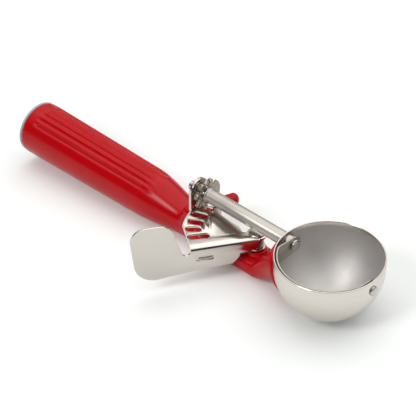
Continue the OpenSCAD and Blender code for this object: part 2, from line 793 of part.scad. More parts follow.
// star wheel with long round-ended teeth, and a plain lobe where no tooth is needed
module pinion() {
    tip = pinion_r - tooth_w / 2;
    color(dark_steel) difference() {
        x_plate(pinion_x - pinion_t / 2, pinion_t) translate([0, shaft_rise]) {
            circle(r = root_r);
            for (k = [0:slot_count - 1]) rotate([0, 0, 270 + tooth_phase - k * tooth_step]) {
                translate([0, -tooth_w / 2]) square([tip, tooth_w]);
                translate([tip, 0]) circle(r = tooth_w / 2);
            }
            polygon(concat([[0, 0]], arc(0, 0, lobe_r, 270 + lobe_from, 270 + lobe_to, 16)));
        }
        keyed_bore(pinion_x - pinion_t, pinion_x + pinion_t);
    }
}

// ---- blade ----

// the blade's edges clear the bowl, so its middle runs on a smaller circle
blade_r = sqrt(pow(bowl_r - bowl_wall - blade_gap, 2) - pow(blade_w / 2, 2));

// strip seen from above: a flat ear at each end and an arc between them
module blade_strip() {
    rear = blade_ear_x - bowl_x;
    front = front_ear_x + blade_t - bowl_x;
    translate([bowl_x, 0]) intersection() {
        difference() {
            circle(r = blade_r);
            intersection() {
                circle(r = blade_r - blade_t);
                translate([rear + blade_t, -bowl_r]) square([front - rear - 2 * blade_t, 2 * bowl_r]);
            }
        }
        translate([rear, -bowl_r]) square([front - rear, 2 * bowl_r]);
    }
}

// the strip's front view: as wide as the blade on the near side, with a round ear on the shaft
module blade_profile() {
    half = blade_w / 2;
    translate([0, shaft_rise]) {
        circle(r = blade_ear_r);
        polygon([[0, blade_ear_r], [-2 * half, half], [-bowl_r, half], [-bowl_r, -half],
            [-2 * half, -half], [0, -blade_ear_r]]);
    }
}

module scraper_blade() {
    color(steel) difference() {
        intersection() {
            translate([0, 0, shaft_rise - blade_w]) linear_extrude(2 * blade_w) blade_strip();
            x_plate(bowl_rear_x, 2 * bowl_r) blade_profile();
        }
        keyed_bore(blade_ear_x - 1, blade_ear_x + 4);
        x_rod(front_ear_x - 3, front_ear_x + 3, rivet_r + running_gap);
    }
}

// collar staked on the rod's end, which holds the blade's rear ear
module rod_nut() {
    color(dark_steel) x_ring(nut_x, nut_t, 3.1, rod_r + running_gap);
}

handle();
end_cap();
shaft_bracket();
lever_pin();
ear_washer();
peen_washer();
return_spring();
bowl();
bowl_studs();
front_rivet();
front_washer();
front_ring();
thumb_lever();
shaft_tube();
drive_rod();
pinion();
pinion_spacer();
rear_clip();
scraper_blade();
rod_nut();
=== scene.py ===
import bmesh
import bpy
import numpy as np
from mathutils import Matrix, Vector


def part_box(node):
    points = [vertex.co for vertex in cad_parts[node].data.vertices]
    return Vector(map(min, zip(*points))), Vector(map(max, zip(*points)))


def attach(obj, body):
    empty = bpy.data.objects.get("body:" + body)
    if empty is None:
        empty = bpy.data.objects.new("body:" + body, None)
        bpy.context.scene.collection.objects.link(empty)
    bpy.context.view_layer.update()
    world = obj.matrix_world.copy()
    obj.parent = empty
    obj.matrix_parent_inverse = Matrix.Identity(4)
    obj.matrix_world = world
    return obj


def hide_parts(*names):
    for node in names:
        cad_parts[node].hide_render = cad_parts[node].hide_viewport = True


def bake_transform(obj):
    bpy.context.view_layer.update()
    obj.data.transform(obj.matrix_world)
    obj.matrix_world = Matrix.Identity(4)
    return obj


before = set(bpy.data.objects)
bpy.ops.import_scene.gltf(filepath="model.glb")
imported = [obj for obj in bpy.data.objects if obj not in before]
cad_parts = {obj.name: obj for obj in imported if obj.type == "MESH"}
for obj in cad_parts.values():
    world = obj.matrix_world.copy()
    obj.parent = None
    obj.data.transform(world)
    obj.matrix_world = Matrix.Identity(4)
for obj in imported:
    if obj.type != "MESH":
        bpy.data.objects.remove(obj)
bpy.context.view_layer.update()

# ---- moulded handle ----
# One injection-moulded piece in glossy red ABS: ribbed grip, neck, beam, the dished saddle that
# carries the bowl, and a finger stop on the far side. It is worked out as one solid field, so that
# its forms run into each other in the soft fillets of a mould.


def linear(code):
    """sRGB hex to linear: a channel c becomes ((c + 0.055) / 1.055) ^ 2.4, or c / 12.92 if dark."""
    c = np.array([int(code[i:i + 2], 16) for i in (1, 3, 5)]) / 255
    c = np.where(c <= 0.04045, c / 12.92, ((c + 0.055) / 1.055) ** 2.4)
    return (*c.tolist(), 1.0)


def add(tree, kind, inputs={}, **settings):
    """Adds a node with its settings; an input is a value, or the output socket that feeds it."""
    made = tree.nodes.new("ShaderNode" + kind)
    for name, value in settings.items():
        setattr(made, name, value)
    for socket, value in inputs.items():
        if isinstance(value, bpy.types.NodeSocket):
            tree.links.new(value, made.inputs[socket])
        else:
            made.inputs[socket].default_value = value
    return made


def material(name, **shader_values):
    """A material with its shader's plain values set, and its tree, shader and coordinates."""
    made = bpy.data.materials.new(name)
    made.use_nodes = True
    tree = made.node_tree
    shader = tree.nodes["Principled BSDF"]
    for socket, value in shader_values.items():
        shader.inputs[socket.replace("_", " ")].default_value = value
    made.diffuse_color = shader.inputs["Base Color"].default_value
    return made, tree, shader, add(tree, "TexCoord").outputs["Object"]


def piece(name, vertices, faces, finish, smooth=32, merge=0.002):
    """A closed mesh from points in millimetres; edges sharper than the smooth angle stay crisp."""
    mesh = bpy.data.meshes.new(name)
    mesh.from_pydata((np.asarray(vertices) * 0.001).tolist(), [], np.asarray(faces).tolist())
    shape = bmesh.new()
    shape.from_mesh(mesh)
    bmesh.ops.remove_doubles(shape, verts=shape.verts, dist=merge * 0.001)
    bmesh.ops.recalc_face_normals(shape, faces=shape.faces)
    shape.to_mesh(mesh)
    shape.free()
    mesh.shade_smooth()
    mesh.set_sharp_from_angle(angle=np.radians(smooth))
    mesh.materials.append(finish)
    made = bpy.data.objects.new(name, mesh)
    bpy.context.scene.collection.objects.link(made)
    return made


def mix(a, b, t):
    """a at t = 0 and b at t = 1: a + (b - a) t."""
    return a + (b - a) * t


def ease(t):
    """0 to 1 with level ends: t^2 (3 - 2 t)."""
    u = np.clip(t, 0, 1)
    return u * u * (3 - 2 * u)


def joined(a, b, fillet):
    """Union of two fields: the lesser, less (fillet - |a - b|)^2 / (4 fillet) where they meet."""
    return np.minimum(a, b) - np.maximum(fillet - abs(a - b), 0) ** 2 / (4 * fillet)


def common(a, b, edge):
    """Intersection of two fields, with a rounded edge."""
    return -joined(-a, -b, edge)


# millimetres: x runs from the butt to the bowl, and z up from the middle of the grip
grip_len, butt_r, shoulder_r, grip_power = 77.0, 13.85, 12.65, 2
neck_len, neck_x, neck_w, neck_top, neck_under, neck_power = 34, 111.0, 8.4, 6, 9.8, 2.3
beam_run, beam_w, beam_top, beam_under, beam_power = 16, 8.7, -0.7, 7.5, 3
seat_x, seat_run, seat_top = 140.48, 6, 2.7
flare_x, flare_len, flare_out, flare_up = 156.98, 16.0, 4.5, 11
horn_x, horn_y, horn_ahead, horn_aside, horn_lift = 103, 4, 14.6, 16.9, 3.4
horn_len, horn_r, horn_flat = 22.3, 3.1, 1.19
pin_x, pin_y, boss_r = 151.48, 1.0, 5
shaft_z, bowl_x, bowl_r = 20.05, 196.98, 26.0
saddle_t, saddle_top, saddle_r, saddle_drop, saddle_end = 2, 22.65, 17, 8, 191
tube_way, peen_r, peen_z = 4.2, 4, -6.9
flute_step, flute_w, flute_depth = np.radians(14.4), 1.25, 0.65


def moulded_body(x, y, z):
    """Grip, neck, beam and flare: a superellipse |y/w|^n + |(z - mid)/h|^n = 1 whose half width,
    top, underside and power n follow x, divided by its slope so that it reads as a distance."""
    line = mix(butt_r, shoulder_r, x / grip_len)
    neck, beam = ease((x - grip_len) / neck_len), ease((x - neck_x) / beam_run)
    flare = np.clip((x - flare_x) / flare_len, 0, 1.15)
    back = x < neck_x
    w = np.where(back, mix(line, neck_w, neck ** 1.35),
                 mix(neck_w, beam_w, beam) + flare_out * flare ** 2)
    seat = mix(mix(neck_top, beam_top, beam), seat_top, ease((x - seat_x) / seat_run))
    top = np.where(back, mix(line, neck_top, neck ** 1.5),
                   seat + (saddle_top - seat_top) * flare ** 0.9)
    under = np.where(back, -mix(line, neck_under, neck ** 1.7),
                     -mix(neck_under, beam_under, beam) + flare_up * flare ** 2.2)
    n = np.where(back, mix(grip_power, neck_power, neck ** 3),
                 mix(neck_power, beam_power, beam) - 0.7 * np.minimum(flare, 1))
    a, b = abs(y) / w, 2 * abs(z - (top + under) / 2) / (top - under)
    r = np.maximum((a ** n + b ** n) ** (1 / n), 1e-3)
    slope = np.hypot((a / r) ** (n - 1) / w, 2 * (b / r) ** (n - 1) / (top - under))
    return (r - 1) / np.maximum(slope, 1e-2)


def finger_horn(x, y, z):
    """An oval bar that sweeps forward and turns up along (103 + 14.6 t, 4 + 16.9 t, 3.4 t^2.2):
    t is how far along it a point lies in plan, and 22.3 mm is its length there."""
    u, v = x - horn_x, y - horn_y
    along = (u * horn_ahead + v * horn_aside) / horn_len
    t = np.clip(along / horn_len, 0, 1)
    across = np.hypot((u * horn_aside - v * horn_ahead) / (horn_len * horn_flat),
                      z - horn_lift * t ** 2.2)
    past = np.maximum(along - horn_len, 0) + np.maximum(-along, 0)
    return np.hypot(across, past) - horn_r


def moulding(x, y, z):
    """The whole moulding: about the distance in millimetres to its skin, less than 0 inside."""
    f = common(moulded_body(x, y, z), 1.5 - x, 1.6)
    # collar round the bracket's foot, a block with round edges, and the finger stop
    q = [abs(x - 112.9) - 1.1, abs(y) - 4.4, abs(z - 3) - 4.5]
    collar = np.sqrt(sum(np.maximum(v, 0) ** 2 for v in q)) - 2.8
    f = joined(f, collar, 3)
    f = joined(f, finger_horn(x, y, z), 1.6)
    # boss under the lever's ear
    from_pin = np.hypot(x - pin_x, y - pin_y)
    f = joined(f, common(from_pin - boss_r, abs(z - 1.02) - 3, 0.5), 1.0)
    # saddle: a shell round the bowl's outside, cut to a round outline. The cut is drawn at the
    # middle of the shell and scaled out and in from there, so that it runs square to the bowl
    # and its edge is blunt
    low = z < shaft_z
    reach = np.where(low, np.sqrt((x - bowl_x) ** 2 + y ** 2 + (z - shaft_z) ** 2),
                     np.hypot(x - bowl_x, y))
    bowl = reach - bowl_r
    scale = (bowl_r + saddle_t / 2) / np.maximum(reach, 1)
    drop = np.where(low, (z - shaft_z) * scale, z - shaft_z)
    shell = common(bowl - saddle_t, np.hypot(y * scale, drop + saddle_drop) - saddle_r, 1.0)
    f = joined(f, common(shell, x - saddle_end, 0.8), 2.2)
    f = common(common(f, 0.03 - bowl, 0.35), z - saddle_top, 1.2)
    # way for the tube over the saddle
    over = np.where(low, np.hypot(y, z - shaft_z), abs(y)) - tube_way
    f = common(f, -np.maximum(over, flare_x - x), 0.5)
    # place for the washer that the pin is peened over
    f = common(f, -np.maximum(from_pin - peen_r, z - peen_z), 0.3)
    # seven round flutes along the top of the grip, 14.4 degrees apart: the skin sinks by
    # 0.65 (1 - (a / 1.25)^2), a being the way round it from a flute's middle, and fades at the ends
    turn = np.arctan2(y, z)
    nearest = np.clip(np.round(turn / flute_step), -3, 3) * flute_step
    round_it = (turn - nearest) * np.hypot(y, z) / flute_w
    sunk = flute_depth * ease((x - 6.5) / 3.5) * ease((91 - x) / 10)
    return f + sunk * np.maximum(1 - round_it ** 2, 0)


def skin_of(field, low, high, step):
    """Surface nets: each grid cell that the field's zero passes through gets one point, the mean of
    the crossings on its edges, and each crossed edge joins its four cells. Steps down the field's
    slope then set the points on the surface."""
    axes = [np.arange(a, b, step) for a, b in zip(low, high)]
    value = field(*np.meshgrid(*axes, indexing="ij"))
    shape = np.array(value.shape)
    cells, places, quads = [], [], []
    for d in range(3):
        order = (d, (d + 1) % 3, (d + 2) % 3)
        near = np.transpose(value, order)[:-1]
        far = np.transpose(value, order)[1:]
        i, j, k = np.nonzero((near < 0) != (far < 0))
        t = near[i, j, k] / (near[i, j, k] - far[i, j, k])
        at = np.zeros((len(i), 3))
        at[:, order[0]], at[:, order[1]], at[:, order[2]] = i + t, j, k
        ring = []
        for dj, dk in ((0, 0), (1, 0), (1, 1), (0, 1)):
            cell = np.zeros((3, len(i)), int)
            cell[order[0]], cell[order[1]], cell[order[2]] = i, j - dj, k - dk
            ring.append(np.ravel_multi_index(cell, shape))
            cells.append(ring[-1])
            places.append(at)
        ring = np.stack(ring, 1)
        quads.append(np.where((far > near)[i, j, k][:, None], ring, ring[:, ::-1]))
    names, index = np.unique(np.concatenate(cells), return_inverse=True)
    places = np.concatenate(places)
    total = np.stack([np.bincount(index, places[:, a]) for a in range(3)], 1)
    p = np.array(low) + step * total / np.bincount(index)[:, None]
    probe = 0.02
    for _ in range(4):
        slope = np.stack([field(*(p + s).T) - field(*(p - s).T)
                          for s in np.eye(3) * probe], 1) / (2 * probe)
        move = field(*p.T)[:, None] * slope / np.maximum((slope ** 2).sum(1, keepdims=True), 0.3)
        p -= np.clip(move, -0.2, 0.2)
    return p, np.searchsorted(names, np.concatenate(quads))


# glossy red ABS from a polished mould: the skin is smooth with a faint orange peel of about 1 mm,
# and handling has dulled it in soft patches
red_abs, tree, shader, place = material(
    "moulded_red_abs", Base_Color=linear("#B0000C"), Roughness=0.27, IOR=1.53,
    Specular_IOR_Level=0.18)
patches = add(tree, "TexNoise", {"Vector": place, "Scale": 90.0, "Detail": 4.0})
tree.links.new(add(tree, "MapRange", {0: patches.outputs[0], 1: 0.3, 2: 0.75, 3: 0.2, 4: 0.28}
                   ).outputs[0], shader.inputs["Roughness"])
tint = add(tree, "Mix", {0: patches.outputs[0], 6: linear("#B4000D"), 7: linear("#A9000A")},
           data_type="RGBA")
tree.links.new(tint.outputs[2], shader.inputs["Base Color"])
peel = add(tree, "TexNoise", {"Vector": place, "Scale": 900.0, "Detail": 2.0})
bump = add(tree, "Bump", {"Strength": 0.06, "Distance": 0.0002, "Height": peel.outputs[0]})
tree.links.new(bump.outputs[0], shader.inputs["Normal"])

handle = piece("moulded_handle", *skin_of(moulding, (0.7, -18.3, -15.2), (194, 26, 24.5), 0.45),
               red_abs, smooth=50, merge=0.0001)
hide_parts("handle")
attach(handle, "frame")

# ---- end cap ----
# Plug of grey satin ABS, pressed into the hollow butt. Its flat face has a rounded edge, a shallow
# ring where the mould's ejector sleeve stood, and the gate's small mark in the middle.


def rounded(points, radius, steps=5):
    """Rounds the corners of a line: (1-t)^2 a + 2t(1-t) corner + t^2 b, a and b a radius away."""
    p = np.array(points, float)
    a, corner, b = p[:-2], p[1:-1], p[2:]
    to_a, to_b = a - corner, b - corner
    len_a, len_b = (np.linalg.norm(v, axis=1, keepdims=True) for v in (to_a, to_b))
    cut = np.minimum(radius, np.minimum(len_a, len_b) / 2.05)
    t = np.linspace(0, 1, steps)[None, :, None]
    a, b = (corner + to_a / len_a * cut)[:, None], (corner + to_b / len_b * cut)[:, None]
    curve = (1 - t) ** 2 * a + 2 * t * (1 - t) * corner[:, None] + t ** 2 * b
    return np.concatenate([p[:1], curve.reshape(-1, 2), p[-1:]])


def sheet_faces(rows, columns, wrap):
    """Quads of a grid that closes round its columns, and round its rows too if it wraps."""
    i, j = np.meshgrid(np.arange(rows if wrap else rows - 1), np.arange(columns), indexing="ij")
    a, b = i * columns, (i + 1) % rows * columns
    k = (j + 1) % columns
    return np.stack([a + j, a + k, b + k, b + j], 2).reshape(-1, 4)


def turned(name, profile, axis, origin, finish, ring=False, sides=96, smooth=32):
    """A solid of revolution: the point (along, radius) of the profile goes to
    origin + along * axis + radius * (cos a, sin a) across it. A ring's profile is closed."""
    profile = np.asarray(profile, float)
    if ring:
        profile = profile[:-1]
    a = np.linspace(0, 2 * np.pi, sides, endpoint=False)
    along, radius = profile[:, :1], profile[:, 1:]
    u, v, w = along + 0 * a, radius * np.cos(a), radius * np.sin(a)
    grid = {"X": (u, v, w), "Z": (v, w, u)}[axis]
    points = np.stack(grid, 2).reshape(-1, 3) + np.array(origin)
    return piece(name, points, sheet_faces(len(profile), sides, ring), finish, smooth)


# grey ABS with a fine spark-eroded grain of about 0.4 mm, drawn at 0.6 mm so that it shows
grey_abs, tree, shader, place = material(
    "moulded_grey_abs", Base_Color=linear("#A3A4A7"), Roughness=0.45, IOR=1.53)
grain = add(tree, "TexNoise", {"Vector": place, "Scale": 1700.0, "Detail": 3.0})
bump = add(tree, "Bump", {"Strength": 0.12, "Distance": 0.0002, "Height": grain.outputs[0]})
tree.links.new(bump.outputs[0], shader.inputs["Normal"])
tree.links.new(add(tree, "MapRange", {0: grain.outputs[0], 3: 0.38, 4: 0.52}).outputs[0],
               shader.inputs["Roughness"])

cap = turned("end_cap_plug", rounded(
    [(0.22, 0), (0.22, 0.9), (0, 1.1), (0, 8.2), (0.3, 8.5), (0.3, 9.1), (0, 9.4), (0, 13.55),
     (1.47, 13.55), (1.47, 9.47), (8.5, 9.47), (8.5, 7.9), (2.1, 7.9), (2.1, 0)], 0.9, 6),
    "X", (0, 0, 0), grey_abs)
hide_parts("end_cap")
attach(cap, "frame")

# ---- shaft bracket ----
# Tab of 1.5 mm bright rolled stainless, blanked with a round head, tumbled so that its edges are
# soft, and pushed down into the moulding's collar.


def stamped(name, node, finish, edge, smooth=28):
    """The CAD's own blank with its triangles merged and its sharp edges rounded."""
    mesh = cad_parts[node].data.copy()
    mesh.name = name
    shape = bmesh.new()
    shape.from_mesh(mesh)
    bmesh.ops.remove_doubles(shape, verts=shape.verts, dist=2e-6)
    bmesh.ops.dissolve_limit(shape, angle_limit=np.radians(0.5), verts=shape.verts,
                             edges=shape.edges)
    shape.to_mesh(mesh)
    shape.free()
    mesh.materials.clear()
    mesh.materials.append(finish)
    mesh.shade_smooth()
    made = bpy.data.objects.new(name, mesh)
    bpy.context.scene.collection.objects.link(made)
    bevel = made.modifiers.new("tumbled_edges", "BEVEL")
    bevel.width = edge * 0.001
    bevel.segments = 3
    bevel.limit_method = "ANGLE"
    bevel.angle_limit = np.radians(smooth)
    bevel.harden_normals = True
    return made


# bright rolled stainless sheet: nearly a mirror, with faint rolling lines, drawn 0.5 mm apart so
# that they show, and soft smears from handling about 10 mm across
sheet_steel, tree, shader, place = material(
    "bright_rolled_stainless", Base_Color=linear("#CCC6BF"), Metallic=1.0, Roughness=0.16)
turn = add(tree, "Mapping", {"Vector": place, "Rotation": (0, 0, np.radians(-57)),
                             "Scale": (0.02, 1, 1)})
lines = add(tree, "TexNoise", {"Vector": turn.outputs[0], "Scale": 2000.0, "Detail": 3.0})
smear = add(tree, "TexNoise", {"Vector": place, "Scale": 110.0, "Detail": 3.0})
rough = add(tree, "MapRange", {0: smear.outputs[0], 1: 0.35, 2: 0.7, 3: 0.11, 4: 0.24})
tree.links.new(rough.outputs[0], shader.inputs["Roughness"])
bump = add(tree, "Bump", {"Strength": 0.08, "Distance": 0.0001, "Height": lines.outputs[0]})
tree.links.new(bump.outputs[0], shader.inputs["Normal"])

bracket = stamped("bracket_tab", "shaft_bracket", sheet_steel, 0.25)
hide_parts("shaft_bracket")
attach(bracket, "frame")

# ---- lever pin and its washers ----
# Domed pin of turned stainless, headed above the lever, with a washer on the boss and another
# under the beam, where its end is peened over.


def domed(stem, radius, rise, bevel):
    """A pin's profile: its stem, rounded, then a dome on the stem's last point, whose height above
    it is rise sin a at the radius cos a."""
    a = np.linspace(0, np.pi / 2, 12)
    dome = np.stack([stem[-1][0] + 0.05 + rise * np.sin(a), radius * np.cos(a)], 1)
    return np.concatenate([rounded(stem, bevel)[:-1], dome])


# turned stainless: fine tool marks round the axis, too fine to show, so only their soft sheen and
# a scatter of small dull spots are drawn
turned_steel, tree, shader, place = material(
    "turned_stainless", Base_Color=linear("#C2BEB8"), Metallic=1.0, Roughness=0.22)
spots = add(tree, "TexNoise", {"Vector": place, "Scale": 700.0, "Detail": 4.0})
rough = add(tree, "MapRange", {0: spots.outputs[0], 1: 0.3, 2: 0.75, 3: 0.15, 4: 0.32})
tree.links.new(rough.outputs[0], shader.inputs["Roughness"])
bump = add(tree, "Bump", {"Strength": 0.05, "Distance": 0.0001, "Height": spots.outputs[0]})
tree.links.new(bump.outputs[0], shader.inputs["Normal"])

pin = turned("pivot_pin", domed(
    [(-8.25, 0), (-8.25, 1.6), (-7.85, 2.8), (-7.38, 2.9), (-7.38, 2), (13.1, 2), (13.1, 4),
     (13.4, 4)], 4, 0.75, 0.15), "Z", (pin_x, pin_y, 0), turned_steel, sides=72, smooth=40)
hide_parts("lever_pin")
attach(pin, "frame")


def washer(name, node, body, axis, origin, start, thick, outer, inner, finish):
    """A flat ring with slightly rounded edges, in place of its CAD node."""
    profile = rounded([(start, (inner + outer) / 2), (start, outer), (start + thick, outer),
                       (start + thick, inner), (start, inner), (start, (inner + outer) / 2)],
                      min(0.12, thick / 3), 4)
    made = turned(name, profile, axis, origin, finish, ring=True, sides=64, smooth=40)
    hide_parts(node)
    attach(made, body)


washer("boss_washer", "ear_washer", "frame", "Z", (pin_x, pin_y, 0), 4.05, 0.45, 3.7, 2.05,
       turned_steel)
washer("peened_washer", "peen_washer", "frame", "Z", (pin_x, pin_y, 0), -7.35, 0.42, 3.7, 2.05,
       turned_steel)

# ---- thumb lever ----
# Blank of 1 mm bright rolled stainless: the slotted sector lies flat, the flange is bent down
# from it and runs out into the thumb pad, and a small ear is bent back round the pin below.
lever = stamped("thumb_lever_blank", "thumb_lever", sheet_steel, 0.3, smooth=35)
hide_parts("thumb_lever")
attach(lever, "lever")

# ---- return spring ----
# Torsion spring of 1 mm drawn steel wire: one leg is held in the bracket's hole, three turns and a
# half go round the pin, and the other leg lies in the window of the lever's flange.


def wire(path, radius, sides=14):
    """A round wire along a path: each ring is path + radius (cos a * side + sin a * up), with side
    level and square to the path. Its ends are closed by rings that shrink to a point."""
    path = np.asarray(path, float)
    along = np.gradient(path, axis=0)
    along /= np.linalg.norm(along, axis=1, keepdims=True)
    side = np.cross([0, 0, 1.0], along)
    side /= np.linalg.norm(side, axis=1, keepdims=True)
    up = np.cross(along, side)
    shrink = np.sin(np.linspace(0.0, np.pi / 2, 5))
    size = np.ones(len(path))
    size[:5], size[-5:] = shrink, shrink[::-1]
    a = np.linspace(0, 2 * np.pi, sides, endpoint=False)[None, :, None]
    rings = path[:, None] + (radius * size)[:, None, None] * (
        np.cos(a) * side[:, None] + np.sin(a) * up[:, None])
    return rings.reshape(-1, 3), sheet_faces(len(path), sides, False)


def softened(path, spacing, passes):
    """Points spread evenly along a path, whose corners are eased by moving means."""
    path = np.asarray(path, float)
    run = np.concatenate([[0], np.cumsum(np.linalg.norm(np.diff(path, axis=0), axis=1))])
    at = np.linspace(0, run[-1], int(run[-1] / spacing))
    path = np.stack([np.interp(at, run, path[:, k]) for k in range(3)], 1)
    for _ in range(passes):
        path[1:-1] = path[1:-1] / 2 + (path[:-2] + path[2:]) / 4
    return path


flange_turn = 57.0  # degrees from the grip's line to the lever's flange
leg_z, coil_r, coil_pitch, sweep = 11.25, 2.95, 1.45, 360 * 3 + 180 - flange_turn
low_z = leg_z - coil_pitch * sweep / 360
t = np.linspace(0, 1, 220)
a = np.radians(90 - sweep * t)
coil = np.stack([pin_x + coil_r * np.cos(a), pin_y + coil_r * np.sin(a), mix(leg_z, low_z, t)], 1)
c, s = np.cos(np.radians(flange_turn)), np.sin(np.radians(flange_turn))
flange_leg = np.array([(4, 0), (13, 0), (21.9, 0), (24.5, 1.3), (29.9, 1.3)])
flange_leg = np.array([pin_x, pin_y, low_z]) + np.stack([
    -c * flange_leg[:, 0] + s * (coil_r + flange_leg[:, 1]),
    -s * flange_leg[:, 0] - c * (coil_r + flange_leg[:, 1]), 0 * flange_leg[:, 0]], 1)
held_leg = [(111.9, pin_y + coil_r, leg_z), (pin_x - 1, pin_y + coil_r, leg_z)]

# drawn spring wire: draw lines run along it, too fine to show, over a duller and darker grey
spring_steel, tree, shader, place = material(
    "drawn_spring_steel", Base_Color=linear("#A9A49E"), Metallic=1.0, Roughness=0.3)
film = add(tree, "TexNoise", {"Vector": place, "Scale": 900.0, "Detail": 3.0})
rough = add(tree, "MapRange", {0: film.outputs[0], 1: 0.3, 2: 0.7, 3: 0.22, 4: 0.4})
tree.links.new(rough.outputs[0], shader.inputs["Roughness"])

spring = piece("torsion_spring", *wire(softened(np.concatenate([held_leg, coil, flange_leg]),
                                                0.22, 6), 0.5), spring_steel, smooth=60)
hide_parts("return_spring")
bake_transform(spring)

# ---- bowl ----
# Half ball with a short straight skirt, spun from 0.8 mm stainless and buffed outside; the inside
# keeps the satin rings of the spinning tool. The rim is rolled smooth.


def drilled(target, tools):
    """Cuts the tools out of a piece and keeps its smooth faces."""
    for tool in tools:
        cut = target.modifiers.new("drill", "BOOLEAN")
        cut.operation, cut.solver, cut.object = "DIFFERENCE", "EXACT", tool
    bpy.context.view_layer.update()
    mesh = bpy.data.meshes.new_from_object(
        target.evaluated_get(bpy.context.evaluated_depsgraph_get()))
    target.modifiers.clear()
    target.data = mesh
    for tool in tools:
        bpy.data.objects.remove(tool)


# spun stainless: tool rings about 0.3 mm apart round the bowl's axis, drawn at 0.8 mm so that they
# show, over a warm light grey
spun_steel, tree, shader, place = material(
    "spun_stainless", Base_Color=linear("#D6D0C9"), Metallic=1.0, Roughness=0.24,
    Anisotropic=0.3, Anisotropic_Rotation=0.25)
centre = add(tree, "Mapping", {"Vector": place, "Location": (-bowl_x / 1000, 0, -shaft_z / 1000)})
# the tool rings run round the axis, along (0, 0, 1) x place, so reflections are drawn out across
# them. The inside is told from the outside by its distance from the ball's middle
round_axis = add(tree, "VectorMath", {0: (0, 0, 1), 1: centre.outputs[0]},
                 operation="CROSS_PRODUCT")
along = add(tree, "VectorMath", {0: round_axis.outputs[0]}, operation="NORMALIZE")
tree.links.new(along.outputs[0], shader.inputs["Tangent"])
split = add(tree, "SeparateXYZ", {0: centre.outputs[0]})
x2 = add(tree, "Math", {0: split.outputs[0], 1: split.outputs[0]}, operation="MULTIPLY")
r2 = add(tree, "Math", {0: split.outputs[1], 1: split.outputs[1], 2: x2.outputs[0]},
         operation="MULTIPLY_ADD")
r = add(tree, "Math", {0: r2.outputs[0]}, operation="SQRT")
drop = add(tree, "Math", {0: split.outputs[2], 1: r.outputs[0]}, operation="ARCTAN2")
arc = add(tree, "Math", {0: drop.outputs[0], 1: bowl_r / 1000}, operation="MULTIPLY")
rings = add(tree, "TexNoise", {"W": arc.outputs[0], "Scale": 1300.0, "Detail": 2.0},
            noise_dimensions="1D")
cloud = add(tree, "TexNoise", {"Vector": place, "Scale": 130.0, "Detail": 3.0})
inner = add(tree, "VectorMath", {0: centre.outputs[0]}, operation="LENGTH")
inside = add(tree, "MapRange",
             {0: inner.outputs["Value"], 1: 0.02535, 2: 0.02555, 3: 0.42, 4: 0.0})
spread = add(tree, "MapRange", {0: cloud.outputs[0], 1: 0.3, 2: 0.7, 3: 0.13, 4: 0.22})
rough = add(tree, "Math", {0: spread.outputs[0], 1: inside.outputs[0]}, operation="ADD")
tree.links.new(rough.outputs[0], shader.inputs["Roughness"])
within = add(tree, "MapRange", {0: inner.outputs["Value"], 1: 0.02535, 2: 0.02555})
shade = add(tree, "Mix", {0: within.outputs[0], 6: linear("#CBC8C6"), 7: linear("#D6D0C9")},
            data_type="RGBA")
tree.links.new(shade.outputs[2], shader.inputs["Base Color"])
bump = add(tree, "Bump", {"Strength": 0.1, "Distance": 0.0001, "Height": rings.outputs[0]})
tree.links.new(bump.outputs[0], shader.inputs["Normal"])

# profile: the outside from the bottom up, the lip as a half circle, and down again inside
rim_z, wall = shaft_z + 5.5, 0.8
a = np.linspace(-np.pi / 2, 0, 48)
outer = np.stack([shaft_z + bowl_r * np.sin(a), bowl_r * np.cos(a)], 1)
inner = np.stack([shaft_z + (bowl_r - wall) * np.sin(a), (bowl_r - wall) * np.cos(a)], 1)
e = np.linspace(0, np.pi, 9)
lip = np.stack([rim_z - wall / 2 + wall / 2 * np.sin(e),
                bowl_r - wall / 2 + wall / 2 * np.cos(e)], 1)
skirt = np.linspace(shaft_z, rim_z - wall / 2, 8)[1:-1]
profile = np.concatenate([outer, np.stack([skirt, 0 * skirt + bowl_r], 1), lip,
                          np.stack([skirt[::-1], 0 * skirt + bowl_r - wall], 1), inner[::-1]])
bowl = turned("spun_bowl", profile, "Z", (bowl_x, 0, 0), spun_steel, sides=240, smooth=40)
drilled(bowl, [
    turned("tube_drill", [(167, 0), (167, 3.6), (174, 3.6), (174, 0)], "X", (0, 0, shaft_z),
           spun_steel, sides=64),
    turned("rivet_drill", [(220, 0), (220, 1.53), (225, 1.53), (225, 0)], "X", (0, 0, shaft_z),
           spun_steel, sides=48)])
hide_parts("bowl")
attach(bowl, "frame")

# ---- front rivet, its washer and ring ----
# Round-headed rivet through the bowl's front wall. The blade's front ear turns on it between a
# washer and a small retaining ring.
rivet = turned("front_pivot_rivet", domed(
    [(218.26, 0), (218.26, 1.5), (223.01, 1.5), (223.01, 2.4), (223.36, 2.4)], 2.4, 0.9, 0.12),
    "X", (0, 0, shaft_z), turned_steel, sides=64, smooth=40)
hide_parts("front_rivet")
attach(rivet, "frame")
washer("wall_washer", "front_washer", "frame", "X", (0, 0, shaft_z),
       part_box("front_washer")[0].x * 1000, 1.3, 2.6, 1.55, turned_steel)
washer("rivet_ring", "front_ring", "frame", "X", (0, 0, shaft_z),
       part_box("front_ring")[0].x * 1000, 0.7, 2.6, 1.53, spring_steel)

# ---- bowl studs ----
# Two headed studs of turned stainless, welded to the bowl's outside and sunk in the saddle when it
# is moulded. They stay out of sight, so the solid's own mesh serves.
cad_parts["bowl_studs"].data.materials.clear()
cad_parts["bowl_studs"].data.materials.append(turned_steel)

# ---- tube and rod ----
# Satin ground tube, flared at the rear to seat against the star wheel, over a solid rod that turns
# with it and shows as a stub behind the bracket.

# the flare's radius falls from 4.1 to 3.5 as (sin(90 u))^1.2 over 1.2 mm
u = np.linspace(0, 1, 9)
flare = np.stack([121.51 + 1.2 * u, 4.1 - 0.6 * np.sin(u * np.pi / 2) ** 1.2], 1)

